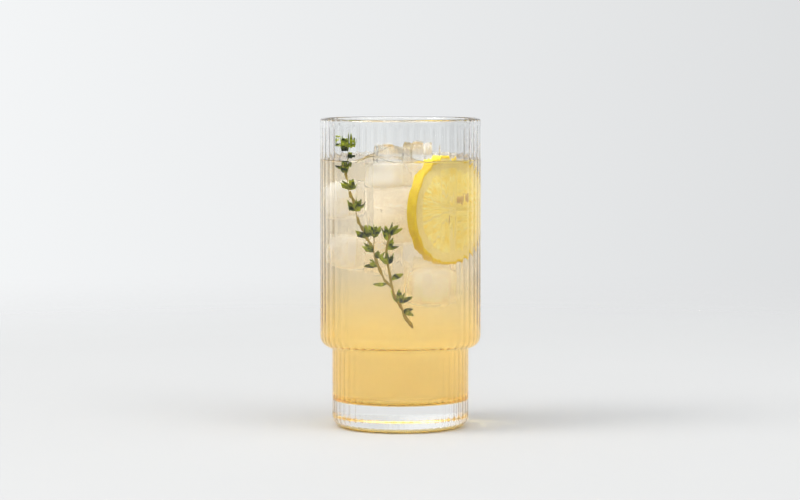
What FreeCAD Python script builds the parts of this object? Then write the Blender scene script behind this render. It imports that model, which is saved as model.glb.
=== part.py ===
import FreeCAD, Part
import math
import os

# Glass of lemonade: a stepped, ribbed tumbler filled with lemonade, a lemon slice standing against the
# right of the front wall, a forked sprig of thyme lying along the left of the front wall, and the two ice
# cubes that rise out of the surface. Millimetres, +Z up, origin at the centre of the foot, front is -Y.

# glass
height = 153.4
upper_radius = 40.0
step_in = 6.0
wall = 3.0
base_thickness = 13.1
foot_corner = 5.5
shoulder_z = 45.3
shoulder_round = 6.0
step_fillet = 1.3
floor_corner = 5.0
lip_round = wall / 2
rib_count = 52
rib_depth = 0.25
rib_turn = 1.9
rib_stop = 1.6
rib_fade = 2.2
# drink
level_below_rim = 21.1
# lemon slice
slice_diameter = 52.9
slice_thickness = 5.0
slice_rind_round = 0.8
slice_edge = 11.0
slice_above_level = 2.4
slice_gap = 0.15
# ice
ice_width = 19.0
ice_height = 22.0
ice_round = 3.0
ice_above_level = 10.2
ice_from_slice = 5.2
ice_from_wall = 3.4
ice_apart = 3.4
# thyme
stem_radius = 0.75
stem_tip_radius = 0.45
stem_sides = 6
leaf_thickness = 0.6
leaf_width_share = 0.4
sprig_from_wall = 4.7

lower_radius = upper_radius - step_in
bore_radius = upper_radius - wall
level = height - level_below_rim

UP = FreeCAD.Vector(0, 0, 1)
ORIGIN = FreeCAD.Vector(0, 0, 0)


def vec(x, y, z):
    return FreeCAD.Vector(x, y, z)


def polar(radius, degrees_right_of_front, z):
    turn = math.radians(degrees_right_of_front)
    return vec(radius * math.sin(turn), -radius * math.cos(turn), z)


def step_points(inset):
    """Shoulder and fillet of the step, for the outside (inset 0) or the bore (inset of one wall)."""
    big = shoulder_round - inset
    small = step_fillet + inset
    big_centre = (upper_radius - shoulder_round, shoulder_z)
    small_r = lower_radius + step_fillet
    reach = big + small
    drop = math.sqrt(reach ** 2 - (small_r - big_centre[0]) ** 2)
    small_centre = (small_r, shoulder_z - drop)
    lean = math.atan2(drop, small_r - big_centre[0])
    return big, big_centre, small, small_centre, lean


def step_curve(inset, pieces):
    """Radius and height down the step, from the end of the upper wall to the start of the lower one."""
    big, big_centre, small, small_centre, lean = step_points(inset)
    rows = []
    for i in range(pieces + 1):
        a = -lean * i / pieces
        rows.append((big_centre[0] + big * math.cos(a), big_centre[1] + big * math.sin(a)))
    for i in range(1, pieces + 1):
        a = math.pi - lean + lean * i / pieces
        rows.append((small_centre[0] + small * math.cos(a), small_centre[1] + small * math.sin(a)))
    return rows


def rib_ring(radius, depth, z):
    """One closed outline of the ribbed wall: convex arcs that meet in sharp valleys."""
    pitch = 360.0 / rib_count
    arcs = []
    for k in range(rib_count):
        start = rib_turn + k * pitch
        arc = Part.Arc(
            polar(radius - depth, start, z),
            polar(radius, start + pitch / 2, z),
            polar(radius - depth, start + pitch, z),
        )
        arcs.append(arc.toShape())
    return Part.Wire(arcs)


def stack(rows, straight):
    rings = [rib_ring(radius, depth, z) for radius, depth, z in rows]
    return Part.makeLoft(rings, True, straight)


def ribbed_body():
    corner = []
    for share in (0.0, 0.25, 0.5, 0.75, 1.0):
        a = math.pi / 2 * share
        radius = lower_radius - foot_corner + foot_corner * math.sin(a)
        corner.append((radius, rib_depth * (0.1 + 0.9 * share), foot_corner - foot_corner * math.cos(a)))
    step = [(radius, rib_depth, z) for radius, z in reversed(step_curve(0.0, 4))]
    lower = [corner[-1], step[0]]
    rib_top = height - lip_round - rib_stop
    upper = [step[-1], (upper_radius, rib_depth, rib_top - rib_fade)]
    fade = [upper[-1], (upper_radius, 0.0, rib_top)]
    body = stack(corner, False)
    for part in (stack(lower, True), stack(step, False), stack(upper, True), stack(fade, True)):
        body = body.fuse(part)
    return body, rib_top


def turned(edges):
    return Part.Face(Part.Wire(edges)).revolve(ORIGIN, UP, 360)


def at(radius, z):
    return vec(radius, 0, z)


def arc(centre, radius, first, last):
    mid = (first + last) / 2
    points = [at(centre[0] + radius * math.cos(a), centre[1] + radius * math.sin(a)) for a in (first, mid, last)]
    return Part.Arc(*points).toShape(), points[0], points[2]


def bore(top):
    """The space inside the glass from its floor up to a flat top."""
    big, big_centre, small, small_centre, lean = step_points(wall)
    lower_bore = lower_radius - wall
    floor_centre = (lower_bore - floor_corner, base_thickness + floor_corner)
    corner, floor_end, corner_top = arc(floor_centre, floor_corner, -math.pi / 2, 0.0)
    fillet, fillet_low, fillet_high = arc(small_centre, small, math.pi, math.pi - lean)
    shoulder, shoulder_low, shoulder_high = arc(big_centre, big, -lean, 0.0)
    edges = [
        Part.makeLine(at(0, base_thickness), floor_end),
        corner,
        Part.makeLine(corner_top, fillet_low),
        fillet,
        shoulder,
        Part.makeLine(shoulder_high, at(bore_radius, top)),
        Part.makeLine(at(bore_radius, top), at(0, top)),
        Part.makeLine(at(0, top), at(0, base_thickness)),
    ]
    return turned(edges)


def lip(start):
    """The plain rounded rim above the ribs, as a full ring."""
    bottom = height - lip_round
    centre = (upper_radius - lip_round, bottom)
    crown, outer_end, inner_end = arc(centre, lip_round, 0.0, math.pi)
    edges = [
        Part.makeLine(at(bore_radius, start), at(upper_radius, start)),
        Part.makeLine(at(upper_radius, start), outer_end),
        crown,
        Part.makeLine(inner_end, at(bore_radius, start)),
    ]
    return turned(edges)


def make_glass():
    body, rib_top = ribbed_body()
    return body.cut(bore(rib_top)).fuse(lip(rib_top)).removeSplitter()


def rounded(shape, radius, edges):
    return shape.makeFillet(radius, edges)


slice_radius = slice_diameter / 2
slice_reach = math.sqrt((bore_radius - slice_gap) ** 2 - (slice_radius - slice_rind_round / 2) ** 2)
slice_back = slice_reach - slice_thickness
# the left edge of the slice's face touches the bore slice_edge degrees right of front
slice_facing = slice_edge + math.degrees(math.acos(slice_reach / (bore_radius - slice_gap)))


def make_slice():
    radius = slice_radius
    facing = polar(1.0, slice_facing, 0)
    centre = facing * slice_back + vec(0, 0, level + slice_above_level - radius)
    disc = Part.makeCylinder(radius, slice_thickness, centre, facing)
    rims = [edge for edge in disc.Edges if len(edge.Vertexes) == 1]
    return rounded(disc, slice_rind_round, rims)


# the cubes stand in a row behind the slice: places along its facing, and to the right-back beside it
ice_behind = slice_back - ice_from_slice - ice_width / 2
ice_reach = math.sqrt((bore_radius - ice_from_wall) ** 2 - (ice_behind + ice_width / 2) ** 2)
ice_front_along = ice_width / 2 - ice_reach
ice_middle_along = ice_front_along + ice_width + ice_apart


def make_ice(along, facing, lean_side, lean_front, above_level):
    block = Part.makeBox(ice_width, ice_width, ice_height, vec(-ice_width / 2, -ice_width / 2, -ice_height))
    block = rounded(block, ice_round, block.Edges)
    block.rotate(ORIGIN, vec(1, 0, 0), lean_front)
    block.rotate(ORIGIN, vec(0, 1, 0), lean_side)
    block.rotate(ORIGIN, UP, facing)
    lift = level + above_level - block.BoundBox.ZMax
    block.translate(polar(ice_behind, slice_facing, lift) + polar(along, slice_facing + 90, 0))
    return block


sprig_radius = bore_radius - sprig_from_wall

# each branch of the sprig: degrees right of front and height above the drink's surface at its knots
main_stem = [(10.2, -80.1), (3.8, -74.5), (0.3, -69.8), (-4.6, -64.3), (-7.8, -58.9)]
left_branch = [(-7.0, -60.3), (-14.0, -55.8), (-18.0, -50.7), (-21.4, -44.4), (-27.0, -37.8), (-33.2, -32.2),
               (-38.6, -24.1), (-44.1, -15.6), (-49.9, -7.2), (-52.0, 0.2), (-54.0, 8.2)]
right_branch = [(-7.4, -59.7), (-9.1, -53.5), (-10.7, -47.1), (-11.1, -42.2), (-8.7, -34.3)]
bud_shoot = [(-22.6, -42.1), (-21.8, -38.3), (-21.6, -33.9)]

# clusters of leaves: degrees right of front, height above the surface, first and last heading, leaves, length
leaf_clusters = [
    (-53.2, 5.3, -32, 30, 7, 8.2),
    (-52.4, 1.3, 30, 62, 3, 5.0),
    (-50.8, -5.3, -42, 44, 6, 6.4),
    (-45.4, -13.5, -58, 58, 7, 5.8),
    (-38.9, -23.7, -64, 62, 8, 6.6),
    (-28.6, -36.7, -72, 24, 6, 6.6),
    (-21.6, -36.7, -28, 26, 5, 6.6),
    (-21.9, -43.3, -64, -40, 2, 6.4),
    (-20.4, -46.3, 28, 60, 2, 5.4),
    (-18.4, -50.1, -88, -62, 2, 6.4),
    (-9.6, -37.7, -38, -8, 2, 7.2),
    (-8.9, -35.1, 14, 62, 3, 6.8),
    (-11.0, -41.9, 28, 78, 2, 6.4),
    (-10.2, -49.3, -44, 26, 3, 6.2),
    (-8.2, -56.9, 56, 62, 1, 8.8),
    (-11.0, -58.7, -96, -90, 1, 6.6),
    (-1.4, -68.1, -28, 66, 4, 6.8),
    (2.0, -71.9, 74, 158, 3, 5.2),
]


def sprig_point(degrees, above_surface):
    return polar(sprig_radius, degrees, level + above_surface)


def make_branch(knots, first_radius, last_radius):
    points = [sprig_point(degrees, z) for degrees, z in knots]
    rings = []
    for i, point in enumerate(points):
        before = points[max(i - 1, 0)]
        after = points[min(i + 1, len(points) - 1)]
        along = (after - before).normalize()
        side = along.cross(polar(1.0, knots[i][0], 0)).normalize()
        front = side.cross(along).normalize()
        radius = first_radius + (last_radius - first_radius) * i / (len(points) - 1)
        ring = []
        for k in range(stem_sides):
            a = 2 * math.pi * k / stem_sides
            ring.append(point + side * (radius * math.cos(a)) + front * (radius * math.sin(a)))
        rings.append(Part.makePolygon(ring + [ring[0]]))
    return Part.makeLoft(rings, True, True)


def make_leaf(degrees, z, heading, length, tilt, roll):
    """A flat oval leaf that starts inside the stem."""
    outward = polar(1.0, degrees, 0)
    right = polar(1.0, degrees + 90, 0)
    lean = math.radians(heading)
    along = (UP * math.cos(lean) + right * math.sin(lean)) * math.cos(tilt) + outward * math.sin(tilt)
    across = along.cross(outward).normalize()
    normal = across.cross(along).normalize()
    across = across * math.cos(roll) + normal * math.sin(roll)
    normal = across.cross(along).normalize()
    start = sprig_point(degrees, z) - normal * (leaf_thickness / 2)
    half = length * leaf_width_share / 2
    outline = [(0.0, 0.35), (0.25, 0.7), (0.5, 1.0), (0.75, 0.8), (1.0, 0.15)]
    rim = [start + along * (length * s) + across * (half * w) for s, w in outline]
    rim += [start + along * (length * s) - across * (half * w) for s, w in reversed(outline)]
    return Part.Face(Part.makePolygon(rim + [rim[0]])).extrude(normal * leaf_thickness)


def make_sprig():
    stems = [
        make_branch(main_stem, stem_radius, stem_radius),
        make_branch(left_branch, stem_radius, stem_tip_radius),
        make_branch(right_branch, stem_radius, stem_tip_radius),
        make_branch(bud_shoot, stem_tip_radius, stem_tip_radius),
    ]
    leaves = []
    for c, (degrees, z, first, last, count, length) in enumerate(leaf_clusters):
        for k in range(count):
            share = k / max(count - 1, 1)
            heading = first + (last - first) * share
            tilt = math.radians(22 * math.sin(2.4 * k + c))
            roll = math.radians(34 * math.cos(1.7 * k + 0.6 * c))
            size = length * (1.0 - 0.18 * abs(math.sin(1.9 * k + c)))
            leaves.append(make_leaf(degrees, z, heading, size, tilt, roll))
    return stems[0].multiFuse(stems[1:] + leaves)


def save(name, shape):
    # a drop of drink closed in between leaves may come away from the cut: the body of it is what is kept
    solid = max(shape.Solids, key=lambda piece: piece.Volume)
    solid.exportStep("parts/" + name + ".step")
    print(name, len(shape.Solids), solid.isValid(), round(solid.Volume, 1), len(solid.Faces))


os.makedirs("parts", exist_ok=True)

glass = make_glass()
lemon = make_slice()
sprig = make_sprig()
ice_front = make_ice(ice_front_along, slice_facing - 94.0, 5.0, -6.0, ice_above_level)
ice_middle = make_ice(ice_middle_along, slice_facing - 90.0, -6.0, 4.0, ice_above_level - 0.4)
drink = bore(level).cut([lemon, sprig, ice_front, ice_middle])

save("glass", glass)
save("lemonade", drink)
save("lemon_slice", lemon)
save("thyme_sprig", sprig)
save("ice_front", ice_front)
save("ice_middle", ice_middle)
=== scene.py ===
import math
import random

import bmesh
import bpy
from mathutils import Matrix, Vector


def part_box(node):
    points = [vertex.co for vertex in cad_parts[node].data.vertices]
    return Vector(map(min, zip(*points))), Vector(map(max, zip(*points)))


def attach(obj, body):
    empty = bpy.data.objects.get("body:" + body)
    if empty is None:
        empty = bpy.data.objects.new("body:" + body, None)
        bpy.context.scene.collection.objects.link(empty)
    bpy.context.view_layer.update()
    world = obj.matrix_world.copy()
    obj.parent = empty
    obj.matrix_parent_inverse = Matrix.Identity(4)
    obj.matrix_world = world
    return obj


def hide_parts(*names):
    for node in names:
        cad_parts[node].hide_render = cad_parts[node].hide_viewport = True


# Glass of lemonade: ribbed, stepped tumbler, pale yellow drink with ice, a lemon slice and a thyme sprig.
# Sizes below are in millimetres; MM turns them into the frame's metres. Front is -Y, +Z up.

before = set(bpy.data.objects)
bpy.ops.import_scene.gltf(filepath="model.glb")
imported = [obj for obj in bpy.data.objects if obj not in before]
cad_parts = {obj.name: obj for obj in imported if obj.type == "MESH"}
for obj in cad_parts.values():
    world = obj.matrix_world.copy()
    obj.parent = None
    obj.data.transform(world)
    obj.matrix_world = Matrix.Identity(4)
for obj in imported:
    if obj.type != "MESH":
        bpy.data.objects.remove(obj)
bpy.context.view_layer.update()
MM = 0.001

# ---------------------------------------------------------------- sizes, from the frame where it has them
glass_high = Vector(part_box("glass")[1]) / MM
drink_low, drink_high = (corner / MM for corner in map(Vector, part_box("lemonade")))
slice_low, slice_high = (corner / MM for corner in map(Vector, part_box("lemon_slice")))

upper_radius = glass_high.x
height = glass_high.z
bore_radius = drink_high.x
wall = upper_radius - bore_radius
base_thickness = drink_low.z
level = drink_high.z
step_in = 6.0
lower_radius = upper_radius - step_in
foot_corner = 5.5
shoulder_z = 45.3
shoulder_round = 6.0
step_fillet = 1.3
floor_corner = 5.0
lip_round = wall / 2
rib_count = 52
# depth of the ribs beside the drink, below the step and above the drink
rib_depth = 0.16
rib_depth_low = 0.26
rib_depth_top = 0.22
rib_sharpness = 3.5
rib_turn = 1.9
rib_stop = 1.6
rib_fade = 2.2
ribs_change = (1.5, 4.5)

# pieces in each rib and in each rounded stretch of a turned outline
rib_steps = 8
corner_pieces = 8
step_pieces = 7
lip_pieces = 12
glass_sides = rib_count * rib_steps
drink_sides = 208
drink_into_wall = 0.3
crease_angle = math.radians(26)

slice_radius = (slice_high.z - slice_low.z) / 2
slice_thickness = 5.0
slice_edge = 11.0
slice_gap = 0.15
slice_rind_round = 0.8
pip_size = (3.2, 1.8, 1.0)
pip_sunk = 0.45
slice_reach = math.sqrt((bore_radius - slice_gap) ** 2 - (slice_radius - slice_rind_round / 2) ** 2)
slice_back = slice_reach - slice_thickness
slice_facing = slice_edge + math.degrees(math.acos(slice_reach / (bore_radius - slice_gap)))

ice_width = 19.0
ice_height = 22.0
ice_from_slice = 5.2
ice_from_wall = 3.4
ice_apart = 3.4
ice_taper = 0.64
ice_middle_width = 23.0
ice_middle_shift = 2.0
cube_rounding = 4.2
cube_melt = 1.5

stem_radius = 0.75
stem_tip_radius = 0.45
sprig_radius = bore_radius - 4.7


# ---------------------------------------------------------------- small helpers
def polar(radius, degrees_right_of_front, z=0.0):
    turn = math.radians(degrees_right_of_front)
    return Vector((radius * math.sin(turn), -radius * math.cos(turn), z))


slice_turn = (math.radians(90), 0.0, math.radians(slice_facing))


def slice_middle():
    return polar(slice_back + slice_thickness / 2, slice_facing, (slice_low.z + slice_high.z) / 2)


def leave_edit():
    if bpy.context.object and bpy.context.object.mode != "OBJECT":
        bpy.ops.object.mode_set(mode="OBJECT")


def clear():
    leave_edit()
    bpy.ops.object.select_all(action="DESELECT")


def only(obj):
    clear()
    obj.select_set(True)
    bpy.context.view_layer.objects.active = obj
    return obj


def named(name):
    obj = bpy.context.object
    obj.name = name
    obj.data.name = name
    return obj


def edit(obj, how="VERT"):
    only(obj)
    bpy.ops.object.mode_set(mode="EDIT")
    bpy.ops.mesh.select_mode(type=how)


def pick(test):
    """Selects, in edit mode, just the vertices whose place passes the test."""
    mesh = bmesh.from_edit_mesh(bpy.context.object.data)
    for part in (mesh.verts, mesh.edges, mesh.faces):
        for one in part:
            one.select = False
    for vertex in mesh.verts:
        vertex.select = test(vertex.co)
    mesh.select_flush(True)
    bmesh.update_edit_mesh(bpy.context.object.data)


def apply_all(obj):
    only(obj)
    bpy.ops.object.transform_apply(location=True, rotation=True, scale=True)
    return obj


def modify(obj, kind, **settings):
    only(obj)
    modifier = obj.modifiers.new(kind.lower(), kind)
    for key, value in settings.items():
        setattr(modifier, key, value)
    bpy.ops.object.modifier_apply(modifier=modifier.name)
    return obj


def tidy_normals(obj):
    edit(obj)
    bpy.ops.mesh.select_all(action="SELECT")
    bpy.ops.mesh.normals_make_consistent(inside=False)
    leave_edit()
    return obj


def smooth(obj, limit=None):
    only(obj)
    if limit is None:
        bpy.ops.object.shade_smooth()
    else:
        bpy.ops.object.shade_smooth_by_angle(angle=limit)
    return obj


def joined(name, objects):
    clear()
    for one in objects:
        one.select_set(True)
    bpy.context.view_layer.objects.active = objects[0]
    bpy.ops.object.join()
    return named(name)


def copy_of(obj):
    """A copy with a mesh of its own, selected and active."""
    only(obj)
    bpy.ops.object.duplicate(linked=False)
    return bpy.context.object


def drop(obj):
    only(obj)
    bpy.ops.object.delete()


def finish_piece(obj, material, slot, *nodes):
    if material:
        obj.data.materials.clear()
        obj.data.materials.append(material)
    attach(obj, "root")
    if nodes:
        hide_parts(*nodes)
    return obj


# ---------------------------------------------------------------- shader building blocks
def group(name, inputs, outputs):
    tree = bpy.data.node_groups.new(name, "ShaderNodeTree")
    for label, kind, default in inputs:
        socket = tree.interface.new_socket(label, in_out="INPUT", socket_type=kind)
        if default is not None:
            socket.default_value = default
    for label, kind in outputs:
        tree.interface.new_socket(label, in_out="OUTPUT", socket_type=kind)
    return tree, tree.nodes.new("NodeGroupInput"), tree.nodes.new("NodeGroupOutput")


def node(tree, kind, links=(), **settings):
    """A node with its settings; links is (input name or number, value or output socket)."""
    made = tree.nodes.new(kind)
    for key, value in settings.items():
        setattr(made, key, value)
    for key, value in links:
        if isinstance(value, bpy.types.NodeSocket):
            tree.links.new(value, made.inputs[key])
        else:
            made.inputs[key].default_value = value
    return made


FLOAT, COLOUR, VECTOR = "NodeSocketFloat", "NodeSocketColor", "NodeSocketVector"


def ramp(tree, value, start, end, low=0.0, high=1.0, interpolation_type="LINEAR"):
    """Runs from low to high as the value runs from start to end."""
    links = [("Value", value), ("From Min", start), ("From Max", end), ("To Min", low), ("To Max", high)]
    return node(tree, "ShaderNodeMapRange", links, interpolation_type=interpolation_type).outputs["Result"]


def soft_ramp(tree, value, start, end, low=0.0, high=1.0):
    """A ramp that starts and ends gently."""
    return ramp(tree, value, start, end, low, high, "SMOOTHSTEP")


def maths(tree, operation, *values):
    return node(tree, "ShaderNodeMath", enumerate(values), operation=operation).outputs[0]


def axes_of(tree, place):
    """The X, Y and Z of a place."""
    return node(tree, "ShaderNodeSeparateXYZ", [(0, place)]).outputs


def noise(tree, place, scale, detail):
    made = node(tree, "ShaderNodeTexNoise", [("Vector", place), ("Scale", scale), ("Detail", detail)])
    return made.outputs["Fac"]


def blend(tree, factor, first, second):
    """Mixes two colours: sockets 6 and 7 of the mix node take them, and socket 2 gives the mix."""
    links = [("Factor", factor), (6, first), (7, second)]
    return node(tree, "ShaderNodeMix", links, data_type="RGBA").outputs[2]


def mottle_group():
    """Two colours mixed by soft noise."""
    tree, given, out = group(
        "mottle",
        [("Place", VECTOR, None), ("Dark", COLOUR, (0.5, 0.5, 0.5, 1)), ("Light", COLOUR, (1, 1, 1, 1)),
         ("Scale", FLOAT, 200.0), ("Contrast", FLOAT, 0.5)],
        [("Color", COLOUR), ("Value", FLOAT)],
    )
    spots = node(tree, "ShaderNodeTexNoise",
                 [("Vector", given.outputs["Place"]), ("Scale", given.outputs["Scale"]),
                  ("Detail", 4.0), ("Roughness", 0.55)])
    low = maths(tree, "SUBTRACT", 0.5, given.outputs["Contrast"])
    high = maths(tree, "ADD", 0.5, given.outputs["Contrast"])
    spread = ramp(tree, spots.outputs["Fac"], low, high)
    colour = blend(tree, spread, given.outputs["Dark"], given.outputs["Light"])
    tree.links.new(colour, out.inputs["Color"])
    tree.links.new(spread, out.inputs["Value"])
    return tree


MOTTLE = mottle_group()


def blank_material(name):
    material = bpy.data.materials.new(name)
    material.use_nodes = True
    tree = material.node_tree
    tree.nodes.clear()
    output = tree.nodes.new("ShaderNodeOutputMaterial")
    shader = tree.nodes.new("ShaderNodeBsdfPrincipled")
    tree.links.new(shader.outputs["BSDF"], output.inputs["Surface"])
    place = tree.nodes.new("ShaderNodeTexCoord").outputs["Object"]
    return material, tree, shader, place


def mottle(tree, place, dark, light, scale, contrast):
    made = tree.nodes.new("ShaderNodeGroup")
    made.node_tree = MOTTLE
    tree.links.new(place, made.inputs["Place"])
    made.inputs["Dark"].default_value = (*dark, 1)
    made.inputs["Light"].default_value = (*light, 1)
    made.inputs["Scale"].default_value = scale
    made.inputs["Contrast"].default_value = contrast
    return made


def bump(tree, shader, heights, strength, distance):
    made = node(tree, "ShaderNodeBump",
                [("Height", heights), ("Strength", strength), ("Distance", distance)])
    tree.links.new(made.outputs["Normal"], shader.inputs["Normal"])


def scatter(tree, colour, density, anisotropy):
    made = node(tree, "ShaderNodeVolumeScatter",
                [("Color", (*colour, 1)), ("Density", density), ("Anisotropy", anisotropy)])
    return made.outputs["Volume"]


def absorb(tree, colour, density):
    made = node(tree, "ShaderNodeVolumeAbsorption", [("Color", (*colour, 1)), ("Density", density)])
    return made.outputs["Volume"]


def fill(tree, volume):
    """Fills what a material encloses with a volume shader."""
    tree.links.new(volume, tree.get_output_node("ALL").inputs["Volume"])


# ---------------------------------------------------------------- materials
# heights between which the tint, the dissolved juice and the pulp thin out; all are strongest at the foot
tint_z = (45.0, 94.0)
juice_z = (62.0, 118.0)
pulp_z = (44.0, 74.0)
# heights above the drink between which the floating ice turns amber
amber_above = (6.6, 8.0)


def glass_material():
    material, tree, shader, place = blank_material("clear_glass")
    shader.inputs["Base Color"].default_value = (0.985, 0.992, 0.99, 1)
    shader.inputs["Roughness"].default_value = 0.0
    shader.inputs["IOR"].default_value = 1.5
    shader.inputs["Transmission Weight"].default_value = 1.0
    stretched = node(tree, "ShaderNodeMapping", [("Vector", place), ("Scale", (1.0, 1.0, 0.25))])
    bump(tree, shader, noise(tree, stretched.outputs[0], 90.0, 1.0), 0.12, 0.0008)
    return material


def drink_material():
    material, tree, shader, place = blank_material("lemonade_drink")
    depth = soft_ramp(tree, axes_of(tree, place)["Z"], tint_z[0] * MM, tint_z[1] * MM)
    tone = blend(tree, depth, (0.98, 0.78, 0.29, 1), (0.96, 0.94, 0.90, 1))
    tree.links.new(tone, shader.inputs["Base Color"])
    shader.inputs["Roughness"].default_value = 0.0
    shader.inputs["IOR"].default_value = 1.34
    shader.inputs["Specular IOR Level"].default_value = 0.15
    shader.inputs["Transmission Weight"].default_value = 1.0
    fill(tree, absorb(tree, (0.88, 0.72, 0.48), 6.0))
    return material


def cloud_material():
    """Fine pulp hung in the drink: nothing to see at its skin, soft scattering within."""
    material, tree, shader, place = blank_material("juice_cloud")
    shader.inputs["Base Color"].default_value = (1.0, 0.9, 0.6, 1)
    shader.inputs["Alpha"].default_value = 0.0
    rise = axes_of(tree, place)["Z"]
    juice = soft_ramp(tree, rise, juice_z[0] * MM, juice_z[1] * MM, 4.0, 3.0)
    pulp = soft_ramp(tree, rise, pulp_z[0] * MM, pulp_z[1] * MM, 48.0, 9.0)
    both = tree.nodes.new("ShaderNodeAddShader")
    tree.links.new(scatter(tree, (0.965, 0.85, 0.55), pulp, 0.3), both.inputs[0])
    tree.links.new(absorb(tree, (0.995, 0.82, 0.24), juice), both.inputs[1])
    fill(tree, both.outputs[0])
    return material


def ice_material():
    """Wet ice above the drink: clear, dented, with amber noise spots painted along its highest edges."""
    material, tree, shader, place = blank_material("clear_ice")
    low, high = [(level + above) * MM for above in amber_above]
    edge = soft_ramp(tree, axes_of(tree, place)["Z"], low, high)
    spots = ramp(tree, noise(tree, place, 150.0, 1.0), 0.46, 0.53)
    amber = maths(tree, "MULTIPLY", edge, spots)
    tone = blend(tree, amber, (0.99, 0.99, 0.985, 1), (0.62, 0.44, 0.16, 1))
    tree.links.new(tone, shader.inputs["Base Color"])
    shader.inputs["Roughness"].default_value = 0.12
    shader.inputs["IOR"].default_value = 1.31
    shader.inputs["Transmission Weight"].default_value = 1.0
    bump(tree, shader, noise(tree, place, 140.0, 2.0), 0.25, 0.0012)
    fill(tree, scatter(tree, (1.0, 1.0, 1.0), 8.0, 0.4))
    return material


def sunk_ice_material():
    """Ice under the surface: its skin all but vanishes in the drink."""
    material, tree, shader, place = blank_material("sunk_ice")
    shader.inputs["Base Color"].default_value = (1.0, 1.0, 1.0, 1)
    shader.inputs["Roughness"].default_value = 0.1
    shader.inputs["IOR"].default_value = 1.05
    shader.inputs["Transmission Weight"].default_value = 1.0
    bump(tree, shader, noise(tree, place, 120.0, 2.0), 0.4, 0.0015)
    fill(tree, scatter(tree, (1.0, 1.0, 1.0), 45.0, 0.0))
    return material


def frost_material():
    """The frosted middle of a cube: no skin to see, and fine white air bubbles in drifts within."""
    material, tree, shader, place = blank_material("ice_frost")
    shader.inputs["Base Color"].default_value = (1.0, 1.0, 1.0, 1)
    shader.inputs["Alpha"].default_value = 0.0
    bubbles = ramp(tree, noise(tree, place, 75.0, 3.0), 0.40, 0.52, 20.0, 500.0)
    fill(tree, scatter(tree, (1.0, 1.0, 1.0), bubbles, 0.0))
    return material


def rind_material():
    material, tree, shader, place = blank_material("lemon_rind")
    made = mottle(tree, place, (0.82, 0.56, 0.004), (0.92, 0.70, 0.02), 300.0, 0.25)
    tree.links.new(made.outputs["Color"], shader.inputs["Base Color"])
    pores = node(tree, "ShaderNodeTexVoronoi", [("Vector", place), ("Scale", 900.0)])
    shader.inputs["Roughness"].default_value = 0.4
    bump(tree, shader, pores.outputs["Distance"], 0.5, 0.0004)
    return material


def pith_material():
    material, tree, shader, place = blank_material("lemon_pith")
    made = mottle(tree, place, (0.85, 0.69, 0.25), (0.94, 0.79, 0.34), 420.0, 0.25)
    tree.links.new(made.outputs["Color"], shader.inputs["Base Color"])
    shader.inputs["Roughness"].default_value = 0.6
    bump(tree, shader, made.outputs["Value"], 0.3, 0.0003)
    return material


def pulp_material():
    """Juice sacs that run out from the core: noise drawn out along the radius, round the slice's middle."""
    material, tree, shader, place = blank_material("lemon_pulp")
    middle = node(tree, "ShaderNodeMapping",
                  [("Vector", place), ("Location", slice_middle() * MM), ("Rotation", slice_turn)],
                  vector_type="TEXTURE")
    flat = axes_of(tree, middle.outputs[0])
    turn = maths(tree, "ARCTAN2", flat["Y"], maths(tree, "MULTIPLY", flat["X"], -1.0))
    out = node(tree, "ShaderNodeVectorMath", [(0, middle.outputs[0])], operation="LENGTH")
    around = maths(tree, "MULTIPLY", turn, 15.0)
    along = maths(tree, "MULTIPLY", out.outputs["Value"], 170.0)
    sacs = node(tree, "ShaderNodeCombineXYZ", [("X", around), ("Y", along)])
    made = mottle(tree, sacs.outputs[0], (0.98, 0.73, 0.15), (1.0, 0.90, 0.38), 1.0, 0.16)
    tree.links.new(made.outputs["Color"], shader.inputs["Base Color"])
    shader.inputs["Roughness"].default_value = 0.3
    shader.inputs["Specular IOR Level"].default_value = 0.15
    bump(tree, shader, made.outputs["Value"], 0.6, 0.0006)
    return material


def pip_material():
    material, tree, shader, place = blank_material("lemon_pip")
    made = mottle(tree, place, (0.55, 0.33, 0.10), (0.74, 0.53, 0.24), 500.0, 0.3)
    tree.links.new(made.outputs["Color"], shader.inputs["Base Color"])
    shader.inputs["Roughness"].default_value = 0.4
    return material


def leaf_material():
    material, tree, shader, place = blank_material("thyme_leaf")
    made = mottle(tree, place, (0.008, 0.026, 0.001), (0.42, 0.48, 0.03), 300.0, 0.10)
    tree.links.new(made.outputs["Color"], shader.inputs["Base Color"])
    shader.inputs["Roughness"].default_value = 0.5
    shader.inputs["Specular IOR Level"].default_value = 0.08
    bump(tree, shader, made.outputs["Value"], 0.3, 0.0003)
    return material


def stem_material():
    material, tree, shader, place = blank_material("thyme_stem")
    made = mottle(tree, place, (0.24, 0.17, 0.015), (0.52, 0.40, 0.10), 240.0, 0.3)
    tree.links.new(made.outputs["Color"], shader.inputs["Base Color"])
    shader.inputs["Roughness"].default_value = 0.55
    shader.inputs["Specular IOR Level"].default_value = 0.08
    bump(tree, shader, made.outputs["Value"], 0.4, 0.0003)
    return material


def floor_material():
    """Pale matt floor that fades out into the studio's own light."""
    material, tree, shader, place = blank_material("studio_floor")
    made = mottle(tree, place, (0.36, 0.36, 0.36), (0.372, 0.372, 0.372), 4.0, 0.4)
    tree.links.new(made.outputs["Color"], shader.inputs["Base Color"])
    shader.inputs["Roughness"].default_value = 0.8
    shader.inputs["Specular IOR Level"].default_value = 0.2
    away = node(tree, "ShaderNodeVectorMath", [(0, place)], operation="LENGTH")
    fade = soft_ramp(tree, away.outputs["Value"], 0.3, 1.0, 1.0, 0.0)
    tree.links.new(fade, shader.inputs["Alpha"])
    return material


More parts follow.
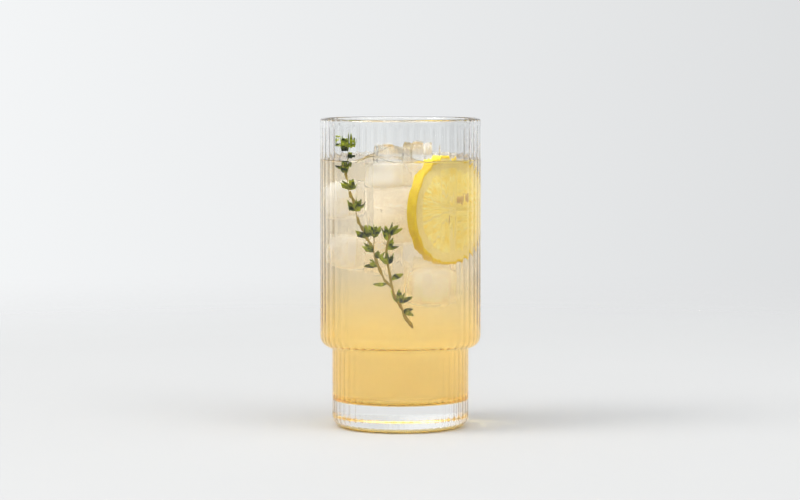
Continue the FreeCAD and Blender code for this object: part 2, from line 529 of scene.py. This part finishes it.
# ---------------------------------------------------------------- turned pieces
def step_curve(inset, pieces):
    """(radius, z) down the step from the upper wall to the lower one; inset 0 is the outside."""
    big = shoulder_round - inset
    small = step_fillet + inset
    big_r = upper_radius - shoulder_round
    small_r = lower_radius + step_fillet
    drop_z = math.sqrt((big + small) ** 2 - (small_r - big_r) ** 2)
    lean = math.atan2(drop_z, small_r - big_r)
    rows = []
    for i in range(pieces + 1):
        a = -lean * i / pieces
        rows.append((big_r + big * math.cos(a), shoulder_z + big * math.sin(a)))
    for i in range(1, pieces + 1):
        a = math.pi - lean + lean * i / pieces
        rows.append((small_r + small * math.cos(a), shoulder_z - drop_z + small * math.sin(a)))
    return rows


def rib_dip(place):
    """How far the ribbed wall lies in from the crest, as a share, at steps across one rib."""
    return (0.5 + 0.5 * math.cos(2 * math.pi * place / rib_steps)) ** rib_sharpness


def flute(depth):
    """Dips the selected ring into ribs, by scaling the vertices of one place across the ribs at a time."""
    mesh = bmesh.from_edit_mesh(bpy.context.object.data)
    step = math.radians(360.0 / glass_sides)
    ring = [vertex.index for vertex in mesh.verts if vertex.select]
    mesh.verts.ensure_lookup_table()
    places = {}
    for index in ring:
        co = mesh.verts[index].co
        turn = math.atan2(co.x, -co.y) - math.radians(rib_turn)
        places.setdefault(round(turn / step) % rib_steps, []).append(index)
    for place, indices in places.items():
        dip = depth * rib_dip(place)
        if abs(dip) < 1e-6:
            continue
        bpy.ops.mesh.select_all(action="DESELECT")
        mesh = bmesh.from_edit_mesh(bpy.context.object.data)
        mesh.verts.ensure_lookup_table()
        for index in indices:
            mesh.verts[index].select = True
        bmesh.update_edit_mesh(bpy.context.object.data)
        first = mesh.verts[indices[0]].co
        radius = first.xy.length / MM
        share = (radius - dip) / radius
        bpy.ops.transform.resize(value=(share, share, 1), center_override=(0, 0, first.z))
    bpy.ops.mesh.select_all(action="DESELECT")
    mesh = bmesh.from_edit_mesh(bpy.context.object.data)
    mesh.verts.ensure_lookup_table()
    for index in ring:
        mesh.verts[index].select = True
    mesh.select_flush(True)
    bmesh.update_edit_mesh(bpy.context.object.data)


def turned(name, rows, sides, turn=0.0):
    """A closed turned piece: a disc pulled up and scaled ring by ring.

    The rows are (radius, z, change of rib depth).
    """
    clear()
    radius, z, dip = rows[0]
    bpy.ops.mesh.primitive_circle_add(vertices=sides, radius=radius * MM, location=(0, 0, z * MM),
                                      rotation=(0, 0, math.radians(turn)), fill_type="NGON")
    obj = apply_all(named(name))
    edit(obj)
    bpy.ops.mesh.select_all(action="SELECT")
    if dip:
        flute(dip)
    for next_radius, next_z, dip in rows[1:]:
        bpy.ops.mesh.extrude_region_move(TRANSFORM_OT_translate={"value": (0, 0, (next_z - z) * MM)})
        share = next_radius / radius
        if share != 1.0:
            bpy.ops.transform.resize(value=(share, share, 1), center_override=(0, 0, next_z * MM))
        if dip:
            flute(dip)
        radius, z = next_radius, next_z
    leave_edit()
    return tidy_normals(obj)


def quarter(centre_r, centre_z, radius, first, last, pieces):
    rows = []
    for i in range(pieces + 1):
        a = math.radians(first + (last - first) * i / pieces)
        rows.append((centre_r + radius * math.cos(a), centre_z + radius * math.sin(a)))
    return rows


def bore_rows(inset):
    """(radius, z) down the bore from just under the lip to its floor, moved out into the wall by inset."""
    rows = step_curve(wall - inset, step_pieces)
    middle_r = lower_radius - wall - floor_corner
    middle_z = base_thickness + floor_corner
    rows += quarter(middle_r, middle_z, floor_corner + inset, 0, -90, corner_pieces)
    return rows


def make_glass(material):
    """The tumbler, turned in one go: up the ribbed outside, over the lip and down the smooth bore."""
    foot = quarter(lower_radius - foot_corner, foot_corner, foot_corner, -90, 0, corner_pieces)
    step = step_curve(0.0, step_pieces)
    outside = [(*foot[0], 0.0)]
    outside += [(r, z, rib_depth_low / corner_pieces) for r, z in foot[1:]]
    outside += [(r, z, (rib_depth - rib_depth_low) / len(step)) for r, z in reversed(step)]
    rib_top = height - lip_round - rib_stop
    outside.append((upper_radius, level + ribs_change[0], 0.0))
    outside.append((upper_radius, level + ribs_change[1], rib_depth_top - rib_depth))
    outside.append((upper_radius, rib_top - rib_fade, 0.0))
    outside.append((upper_radius, rib_top - rib_fade / 2, -rib_depth_top / 2))
    outside.append((upper_radius, rib_top, -rib_depth_top / 2))
    lip = quarter(upper_radius - lip_round, height - lip_round, lip_round, 0, 180, lip_pieces)
    inside = lip + bore_rows(0.0)
    obj = turned("tumbler", outside + [(r, z, 0.0) for r, z in inside], glass_sides, rib_turn)
    smooth(obj, crease_angle)
    return finish_piece(obj, material, "glass", "glass")


# ---------------------------------------------------------------- ice
def make_cube(name, size, tall, seed, taper=1.0):
    """A melted ice cube: a bevelled box, drawn in at the top, its corners pushed about a little."""
    clear()
    bpy.ops.mesh.primitive_cube_add(size=MM)
    obj = named(name)
    obj.scale = (size, size, tall)
    apply_all(obj)
    edit(obj)
    bpy.ops.mesh.select_all(action="SELECT")
    bpy.ops.transform.vertex_random(offset=cube_melt * MM, seed=seed)
    pick(lambda co: co.z > 0)
    bpy.ops.transform.resize(value=(taper, taper, 1), center_override=(0, 0, 0))
    bpy.ops.mesh.select_all(action="SELECT")
    bpy.ops.mesh.bevel(offset=cube_rounding * MM, segments=3, profile=0.5)
    leave_edit()
    modify(obj, "SUBSURF", levels=2, render_levels=2)
    return smooth(obj)


def set_down(obj, place, turns):
    """Turns a piece by degrees about X, Y and Z, then moves it to its place."""
    obj.rotation_euler = [math.radians(turn) for turn in turns]
    obj.location = place * MM
    return apply_all(obj)


ice_behind = slice_back - ice_from_slice - ice_width / 2
ice_reach = math.sqrt((bore_radius - ice_from_wall) ** 2 - (ice_behind + ice_width / 2) ** 2)
ice_front_along = ice_width / 2 - ice_reach
ice_middle_along = ice_front_along + ice_width + ice_apart


def ice_place(along, z):
    return polar(ice_behind, slice_facing, z) + polar(along, slice_facing + 90)


# sunk cubes: centre, then turns about X, Y and Z in degrees, then width
sunk_cubes = [
    (polar(25.5, -70, 113.0), (8, -6, -68), 18.0),
    (polar(27.5, -60, 88.5), (-6, 5, -60), 16.5),
    (polar(24.0, 34, 71.5), (6, 8, -32), 18.0),
    (polar(8.2, -166, 99.0), (6, 12, -30), 17.0),
    (polar(19.0, 180, 108.0), (-10, 8, 8), 20.0),
    (polar(22.8, 128, 96.0), (12, -8, 40), 18.0),
    (polar(17.2, -144, 86.0), (14, 20, 30), 18.0),
    (polar(17.2, 144, 74.0), (-18, 10, 15), 17.0),
]


ice_into_drink = 0.15
ice_under_skin = 0.3
frost_share = 0.84
sunk_tall = 1.05
sunk_seed = 20


def cut_level(obj, z, keep):
    """Cuts a cube level at z and closes it; keep is 1 for what lies above and -1 for what lies below."""
    edit(obj)
    bpy.ops.mesh.select_all(action="SELECT")
    bpy.ops.mesh.bisect(plane_co=(0, 0, z * MM), plane_no=(0, 0, keep), use_fill=True, clear_inner=True)
    leave_edit()


def make_frost(cube, material):
    """The frosted middle of a cube: a smaller copy of it, about the same middle."""
    frost = copy_of(cube)
    name = cube.name + "_frost"
    frost.name = name
    frost.data.name = name
    corners = [Vector(corner) for corner in frost.bound_box]
    middle = sum(corners, Vector()) / len(corners)
    edit(frost)
    bpy.ops.mesh.select_all(action="SELECT")
    bpy.ops.transform.resize(value=(frost_share,) * 3, center_override=middle)
    leave_edit()
    return finish_piece(frost, material, "ice")


def make_floating(name, seed, width, place, turns, materials, frost, replaced):
    """A cube that breaks the surface: a closed body above it, and one below whose skin the drink hides."""
    above = make_cube(name, ice_width, ice_height, seed, ice_taper)
    above.scale = (width / ice_width, 1, 1)
    apply_all(above)
    set_down(above, place, turns)
    below = copy_of(above)
    below.name = name + "_below"
    cut_level(above, level - ice_into_drink, 1)
    cut_level(below, level - ice_under_skin, -1)
    make_frost(below, frost)
    for part, material in zip((above, below), materials):
        part.data.materials.append(material)
    return finish_piece(joined(name, [above, below]), None, "ice", replaced)


def make_ice(material, sunk_material, frost):
    for name, seed, width, along, turns, replaced in [
        ("ice_front_cube", 3, ice_width, ice_front_along, (-6, 5, slice_facing), "ice_front"),
        ("ice_middle_cube", 8, ice_middle_width, ice_middle_along + ice_middle_shift,
         (4, -6, slice_facing), "ice_middle"),
    ]:
        low, high = (corner / MM for corner in map(Vector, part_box(replaced)))
        place = ice_place(along, (low.z + high.z) / 2)
        make_floating(name, seed, width, place, turns, (material, sunk_material), frost, replaced)
    for i, (place, turns, width) in enumerate(sunk_cubes):
        cube = make_cube("sunk_ice_%d" % (i + 1), width, width * sunk_tall, sunk_seed + i)
        set_down(cube, place, turns)
        make_frost(cube, frost)
        finish_piece(cube, sunk_material, "ice")


# ---------------------------------------------------------------- drink
meniscus_height = 1.0
meniscus_width = 3.0
meniscus_rings = 8
straight_wall = 6.0
# where the drink climbs the wall by the front ice: degrees right of front, height, half width in degrees,
# how many of the rings in from the wall rise with it
climbs = [(-21.0, 3.0, 10.0, 6), (-4.5, 7.6, 11.0, 2)]


def raise_edge(beyond, centre, rise, half_width):
    """Lifts the drink's edge, beyond a radius, in a soft wave, one side of the turned mesh at a time."""
    step = 360.0 / drink_sides
    reach = math.ceil(2 * half_width / step)
    for i in range(-reach, reach + 1):
        turn = round(centre / step + i) * step
        lift = rise * math.exp(-((turn - centre) / half_width) ** 2)
        side = math.radians(turn)
        aim = Vector((math.sin(side), -math.cos(side)))
        pick(lambda co: co.z > (level + 0.001) * MM and co.xy.length > beyond * MM
             and co.xy.normalized().dot(aim) > math.cos(math.radians(step / 3)))
        bpy.ops.transform.translate(value=(0, 0, lift * MM))


def make_drink(material):
    """The drink reaches just into the glass, and runs on through the ice that breaks its surface."""
    side = bore_radius + drink_into_wall
    rows = [(r, z, 0.0) for r, z in reversed(bore_rows(drink_into_wall))]
    rows.append((side, level - straight_wall, 0.0))
    rows.append((side, level + meniscus_height, 0.0))
    for i in range(1, meniscus_rings + 1):
        in_from_wall = meniscus_width * i / meniscus_rings
        rise = meniscus_height * (1 - i / meniscus_rings) ** 2
        rows.append((bore_radius - in_from_wall, level + rise, 0.0))
    obj = turned("drink", rows, drink_sides)
    edit(obj)
    for centre, rise, half_width, rings_in in climbs:
        beyond = bore_radius - meniscus_width * (rings_in - 0.5) / meniscus_rings
        raise_edge(beyond, centre, rise, half_width)
    leave_edit()
    smooth(obj, crease_angle)
    return finish_piece(obj, material, "lemonade", "lemonade")


cloud_from_wall = 5.4
cloud_from_lower_wall = 1.0
cloud_from_level = 2.0
cloud_narrows_z = 52.0
cloud_neck = 4.0
cloud_rounding = 3.0
cloud_sides = 96
cloud_pieces = 5


def make_cloud(material):
    """The cloud of pulp: it fills the foot, and above it leaves a clear layer where the sprig lies."""
    foot = reversed(bore_rows(-cloud_from_lower_wall))
    outline = [(r, z) for r, z in foot if z < cloud_narrows_z - cloud_neck]
    side = bore_radius - cloud_from_wall
    outline.append((side, cloud_narrows_z))
    top = level - cloud_from_level - cloud_rounding
    outline += quarter(side - cloud_rounding, top, cloud_rounding, 0, 80, cloud_pieces)
    obj = turned("drink_cloud", [(r, z, 0.0) for r, z in outline], cloud_sides)
    return finish_piece(obj, material, "lemonade")


# ---------------------------------------------------------------- lemon slice
segment_count = 9
rind_width = 1.3
pith_width = 4.3
membrane = 0.5
segment_tip = 1.7
segments_start = 14
# each wedge of pulp ends short by up to this share and is turned by up to this many degrees
segment_short = 0.03
segment_swing = 3
pulp_round = 0.3
pith_under_rind = 0.05
pith_sunk = 0.1
pith_round = 0.3
# the pointed end of a pip: where it begins and its share of the width
pip_point_from = 1.6
pip_point = 0.6


def lay_in_slice(obj):
    """Stands a piece made flat, centred on the origin and facing +Z, in the place of the slice."""
    obj.rotation_euler = slice_turn
    obj.location = slice_middle() * MM
    return apply_all(obj)


def make_disc(name, radius, thickness, rounding):
    clear()
    bpy.ops.mesh.primitive_cylinder_add(vertices=128, radius=radius * MM, depth=thickness * MM)
    obj = named(name)
    edit(obj, "EDGE")
    mesh = bmesh.from_edit_mesh(obj.data)
    for part in (mesh.verts, mesh.edges, mesh.faces):
        for one in part:
            one.select = False
    for edge in mesh.edges:
        edge.select = abs(edge.verts[0].co.z - edge.verts[1].co.z) < 1e-7
    bmesh.update_edit_mesh(obj.data)
    bpy.ops.mesh.bevel(offset=rounding * MM, segments=4, profile=0.5)
    leave_edit()
    return obj


def make_rind(material):
    """The peel: a rounded ring whose faces are sunk for the pith to fill."""
    obj = make_disc("slice_rind", slice_radius, slice_thickness, slice_rind_round)
    edit(obj, "FACE")
    for side in (1, -1):
        pick(lambda co: co.z * side > (slice_thickness / 2 - 0.01) * MM)
        bpy.ops.mesh.inset(thickness=(rind_width - slice_rind_round) * MM)
        bpy.ops.mesh.extrude_region_move(TRANSFORM_OT_translate={"value": (0, 0, -side * MM)})
    leave_edit()
    smooth(lay_in_slice(obj), crease_angle)
    return finish_piece(obj, material, "lemon", "lemon_slice")


def make_pith(material):
    reach = slice_radius - rind_width + pith_under_rind
    obj = make_disc("slice_pith", reach, slice_thickness - 2 * pith_sunk, pith_round)
    smooth(lay_in_slice(obj), crease_angle)
    return finish_piece(obj, material, "lemon")


def make_segment(index, outer):
    """One wedge of pulp: a disc cut by a plane along each side and one across the tip, then pulled thick."""
    clear()
    bpy.ops.mesh.primitive_circle_add(vertices=120, radius=outer * MM, fill_type="NGON")
    obj = named("pulp_%d" % index)
    edit(obj)
    half = math.pi / segment_count
    cuts = [((1.0, 0.0, 0.0), segment_tip)]
    for side in (1, -1):
        cuts.append(((math.sin(half), -side * math.cos(half), 0.0), membrane / 2))
    for facing, away in cuts:
        bpy.ops.mesh.select_all(action="SELECT")
        bpy.ops.mesh.bisect(plane_co=Vector(facing) * away * MM, plane_no=facing, clear_inner=True)
    bpy.ops.mesh.select_all(action="SELECT")
    bpy.ops.mesh.extrude_region_move(TRANSFORM_OT_translate={"value": (0, 0, slice_thickness * MM)})
    leave_edit()
    return obj


def make_pulp(material):
    wedges = []
    outer = slice_radius - rind_width - pith_width
    draw = random.Random(4)
    for i in range(segment_count):
        wedge = make_segment(i, outer * (1 - segment_short * draw.random()))
        wedge.location = (0, 0, -slice_thickness / 2 * MM)
        turn = 360.0 / segment_count * i + segments_start + segment_swing * draw.random()
        wedge.rotation_euler = (0, 0, math.radians(turn))
        wedges.append(apply_all(wedge))
    obj = joined("slice_pulp", wedges)
    tidy_normals(obj)
    modify(obj, "BEVEL", width=pulp_round * MM, segments=3, limit_method="ANGLE", angle_limit=math.radians(40))
    smooth(lay_in_slice(obj), crease_angle)
    return finish_piece(obj, material, "lemon")


def make_pips(material):
    """Pips that show on the face: across and up from the middle of the slice, then turn in degrees."""
    pips = []
    for i, (across, up, turn) in enumerate([(5.4, 5.0, 80), (-0.8, -4.4, 70), (9.2, 6.2, 95)]):
        clear()
        bpy.ops.mesh.primitive_uv_sphere_add(segments=16, ring_count=10, radius=MM)
        pip = named("pip_%d" % i)
        pip.scale = pip_size
        apply_all(pip)
        edit(pip)
        pick(lambda co: co.x > pip_point_from * MM)
        bpy.ops.transform.resize(value=(1.0, pip_point, pip_point))
        leave_edit()
        pip.rotation_euler = (0, 0, math.radians(turn))
        pip.location = Vector((across, up, slice_thickness / 2 - pip_sunk)) * MM
        pips.append(apply_all(pip))
    obj = joined("slice_pips", pips)
    smooth(lay_in_slice(obj))
    return finish_piece(obj, material, "lemon")


# ---------------------------------------------------------------- thyme
# knots of each branch: degrees right of front and height above the drink's surface
main_stem = [(10.2, -80.1), (3.8, -74.5), (0.3, -69.8), (-4.6, -64.3), (-7.8, -58.9)]
left_branch = [(-7.0, -60.3), (-14.0, -55.8), (-18.0, -50.7), (-21.4, -44.4), (-27.0, -37.8),
               (-33.2, -32.2), (-38.6, -24.1), (-44.1, -15.6), (-49.9, -7.2), (-52.0, 0.2), (-54.0, 8.2)]
right_branch = [(-7.4, -59.7), (-9.1, -53.5), (-10.7, -47.1), (-11.1, -42.2), (-8.7, -34.3)]
bud_shoot = [(-22.6, -42.1), (-21.8, -38.3), (-21.6, -33.9)]

# clusters of leaves: degrees right of front, height above the surface, first and last heading in degrees
# right of upright, how many big leaves (as many small ones stand among them), length
leaf_clusters = [
    (-53.2, 5.0, -48, 46, 9, 8.6),
    (-52.4, 1.3, 30, 62, 3, 5.0),
    (-50.8, -5.3, -42, 44, 6, 6.4),
    (-45.4, -13.5, -58, 58, 7, 5.8),
    (-38.9, -23.7, -64, 62, 8, 6.6),
    (-28.6, -36.7, -72, 24, 6, 6.6),
    (-21.6, -36.7, -28, 26, 5, 6.6),
    (-21.9, -43.3, -64, -40, 2, 6.4),
    (-20.4, -46.3, 28, 60, 2, 5.4),
    (-18.4, -50.1, -88, -62, 2, 6.4),
    (-9.6, -37.7, -38, -8, 2, 7.2),
    (-8.9, -35.1, 14, 62, 3, 6.8),
    (-11.0, -41.9, 28, 78, 2, 6.4),
    (-10.2, -49.3, -44, 26, 3, 6.2),
    (-8.2, -56.9, 56, 62, 1, 8.8),
    (-11.0, -58.7, -96, -90, 1, 6.6),
    (-1.4, -68.1, -28, 66, 4, 6.8),
    (2.0, -71.9, 74, 158, 3, 5.2),
]


def sprig_point(degrees, above_surface):
    return polar(sprig_radius, degrees, level + above_surface)


def make_branch(name, knots, first_radius, last_radius):
    """A round stem: a smooth curve through the knots, made solid; its radius changes evenly."""
    points = [sprig_point(*knot) for knot in knots]
    clear()
    bpy.ops.curve.primitive_bezier_curve_add()
    curve = bpy.context.object
    spline = curve.data.splines[0]
    curve.data.dimensions = "3D"
    spline.bezier_points.add(len(points) - 2)
    for i, (bezier, point) in enumerate(zip(spline.bezier_points, points)):
        bezier.co = point * MM
        bezier.handle_left_type = bezier.handle_right_type = "AUTO"
        bezier.radius = first_radius + (last_radius - first_radius) * i / (len(points) - 1)
    curve.location = (0, 0, 0)
    curve.data.bevel_depth = MM
    curve.data.bevel_resolution = 2
    curve.data.resolution_u = 4
    curve.data.use_fill_caps = True
    only(curve)
    bpy.ops.object.convert(target="MESH")
    return named(name)


def make_stems(material):
    stems = [
        make_branch("stem_main", main_stem, stem_radius, stem_radius),
        make_branch("stem_left", left_branch, stem_radius * 0.85, stem_tip_radius),
        make_branch("stem_right", right_branch, stem_radius * 0.7, stem_tip_radius),
        make_branch("stem_bud", bud_shoot, stem_tip_radius, stem_tip_radius),
    ]
    obj = joined("thyme_stems", stems)
    smooth(tidy_normals(obj), math.radians(60))
    return finish_piece(obj, material, "thyme", "thyme_sprig")


# width of a leaf at even steps from its stalk to its tip, as shares of its greatest width
leaf_outline = [0.14, 0.60, 0.95, 1.0, 0.80, 0.45, 0.06]
# these are shares of a leaf's length
leaf_width = 0.38
leaf_fold = 0.07
leaf_edge_droop = 0.03
leaf_thickness = 0.05
# a small leaf beside a big one: its share of the size, and how many degrees further out it tilts
small_leaf = 0.72
small_leaf_tilt = 18
# how far leaves tilt and roll either way, in degrees
leaf_tilt = 22
leaf_roll = 44


def make_leaf_shape(curl):
    """One leaf, 1 mm long along +Y and facing +Z: a grid drawn in to an oval, folded along its middle."""
    clear()
    rows = len(leaf_outline) - 1
    bpy.ops.mesh.primitive_grid_add(x_subdivisions=4, y_subdivisions=rows, size=MM)
    obj = named("leaf")
    obj.location = (0, 0.5 * MM, 0)
    apply_all(obj)
    edit(obj)
    for i, share in enumerate(leaf_outline):
        y = i / rows
        pick(lambda co: abs(co.y / MM - y) < 0.01)
        bpy.ops.transform.resize(value=(share * leaf_width, 1, 1), center_override=(0, y * MM, 0))
        bpy.ops.transform.translate(value=(0, 0, curl * y * y * MM))
        pick(lambda co: abs(co.y / MM - y) < 0.01 and abs(co.x) < 0.02 * MM)
        bpy.ops.transform.translate(value=(0, 0, -leaf_fold * share * MM))
        pick(lambda co: abs(co.y / MM - y) < 0.01 and abs(co.x) > 0.15 * share * MM)
        bpy.ops.transform.translate(value=(0, 0, -leaf_edge_droop * share * MM))
    leave_edit()
    modify(obj, "SOLIDIFY", thickness=leaf_thickness * MM, offset=0.0)
    modify(obj, "SUBSURF", levels=1, render_levels=1)
    return smooth(obj)


def leaf_turn(degrees, heading, tilt, roll):
    """A leaf's turn: heading right of upright, tilt out of the glass's face, roll about its own length."""
    outward = polar(1.0, degrees)
    right = polar(1.0, degrees + 90)
    lean, nod, twist = math.radians(heading), math.radians(tilt), math.radians(roll)
    along = (Vector((0, 0, 1)) * math.cos(lean) + right * math.sin(lean)) * math.cos(nod)
    along += outward * math.sin(nod)
    across = along.cross(outward).normalized()
    normal = across.cross(along).normalized()
    across = (across * math.cos(twist) + normal * math.sin(twist)).normalized()
    normal = across.cross(along).normalized()
    return Matrix((across, along, normal)).transposed().to_quaternion()


def make_leaves(material):
    """Copies of three leaf shapes, fanned out round each knot; sines make no two of them stand alike."""
    shapes = [make_leaf_shape(curl) for curl in (0.12, -0.10, 0.22)]
    leaves = []
    for c, (degrees, above, first, last, big, length) in enumerate(leaf_clusters):
        for k in range(2 * big):
            share = k / max(big - 1, 1) if k < big else (k - big + 0.5) / big
            heading = first + (last - first) * share
            tilt = leaf_tilt * math.sin(2.4 * k + c)
            roll = leaf_roll * math.cos(1.7 * k + 0.6 * c)
            size = length * (1.18 - 0.20 * abs(math.sin(1.9 * k + c)))
            if k >= big:
                size *= small_leaf
                tilt += small_leaf_tilt
            leaf = copy_of(shapes[(c + k) % len(shapes)])
            leaf.scale = (size,) * 3
            leaf.rotation_mode = "QUATERNION"
            leaf.rotation_quaternion = leaf_turn(degrees, heading, tilt, roll)
            leaf.location = sprig_point(degrees, above) * MM
            leaves.append(apply_all(leaf))
    for shape in shapes:
        drop(shape)
    obj = joined("thyme_leaves", leaves)
    return finish_piece(obj, material, "thyme")


# ---------------------------------------------------------------- studio
air_under_foot = 0.4
floor_radius = 1.2
camera_place = (-0.0002, -1.4391, 0.1884)
camera_pitch = 86
camera_lens = 130.3
camera_sensor = 36.0


def make_floor(material):
    clear()
    bpy.ops.mesh.primitive_circle_add(vertices=96, radius=floor_radius, fill_type="NGON",
                                      location=(0, 0, -air_under_foot * MM))
    obj = apply_all(named("floor"))
    obj.data.materials.append(material)


def make_light(name, place, target, size, power, colour):
    clear()
    bpy.ops.object.light_add(type="AREA", location=place)
    lamp = bpy.context.object
    lamp.name = name
    lamp.data.shape = "DISK"
    lamp.data.size = size
    lamp.data.energy = power
    lamp.data.color = colour
    lamp.rotation_euler = (Vector(target) - Vector(place)).to_track_quat("-Z", "Y").to_euler()


def make_world():
    """Plain studio light: behind, a little brighter at the left; dim at each side; brightest high in front."""
    world = bpy.data.worlds.new("studio")
    bpy.context.scene.world = world
    world.use_nodes = True
    tree = world.node_tree
    tree.nodes.clear()
    out = tree.nodes.new("ShaderNodeOutputWorld")
    back = tree.nodes.new("ShaderNodeBackground")
    x, y, z = axes_of(tree, tree.nodes.new("ShaderNodeTexCoord").outputs["Generated"])
    across = ramp(tree, x, -0.14, 0.14, 0.915, 0.745)
    aside = soft_ramp(tree, maths(tree, "ABSOLUTE", x), 0.80, 0.94, 1.0, 0.05)
    front = soft_ramp(tree, y, -0.9, -0.1, 0.22, 1.0)
    round_about = maths(tree, "MULTIPLY", maths(tree, "MULTIPLY", across, aside), front)
    high = soft_ramp(tree, z, 0.3, 0.7)
    ahead = soft_ramp(tree, y, -0.3, 0.4, 2.8, 0.0)
    strength = maths(tree, "ADD", round_about, maths(tree, "MULTIPLY", high, ahead))
    tree.links.new(strength, back.inputs["Strength"])
    back.inputs["Color"].default_value = (0.985, 1.0, 1.01, 1)
    tree.links.new(back.outputs[0], out.inputs["Surface"])


def make_camera():
    """Looks a few degrees down from in front, through a long lens."""
    clear()
    bpy.ops.object.camera_add(location=camera_place, rotation=(math.radians(camera_pitch), 0, 0))
    camera = bpy.context.object
    camera.data.sensor_width = camera_sensor
    camera.data.lens = camera_lens
    bpy.context.scene.camera = camera


# ---------------------------------------------------------------- build
clear()
make_glass(glass_material())
make_ice(ice_material(), sunk_ice_material(), frost_material())
make_drink(drink_material())
make_cloud(cloud_material())
make_rind(rind_material())
make_pith(pith_material())
make_pulp(pulp_material())
make_pips(pip_material())
make_stems(stem_material())
make_leaves(leaf_material())

make_floor(floor_material())
make_world()
make_light("key_left", (-1.6, -0.6, 1.7), (0, 0, 0.08), 1.2, 34, (1.0, 0.98, 0.95))
make_light("fill_right", (1.3, -1.1, 1.3), (0, 0, 0.1), 1.0, 9, (1.0, 1.0, 1.0))
make_camera()

scene = bpy.context.scene
scene.view_settings.view_transform = "Standard"
scene.cycles.max_bounces = 48
scene.cycles.diffuse_bounces = 12
scene.cycles.glossy_bounces = 32
scene.cycles.transmission_bounces = 48
scene.cycles.volume_bounces = 24
scene.cycles.blur_glossy = 0.0
scene.cycles.transparent_max_bounces = 32
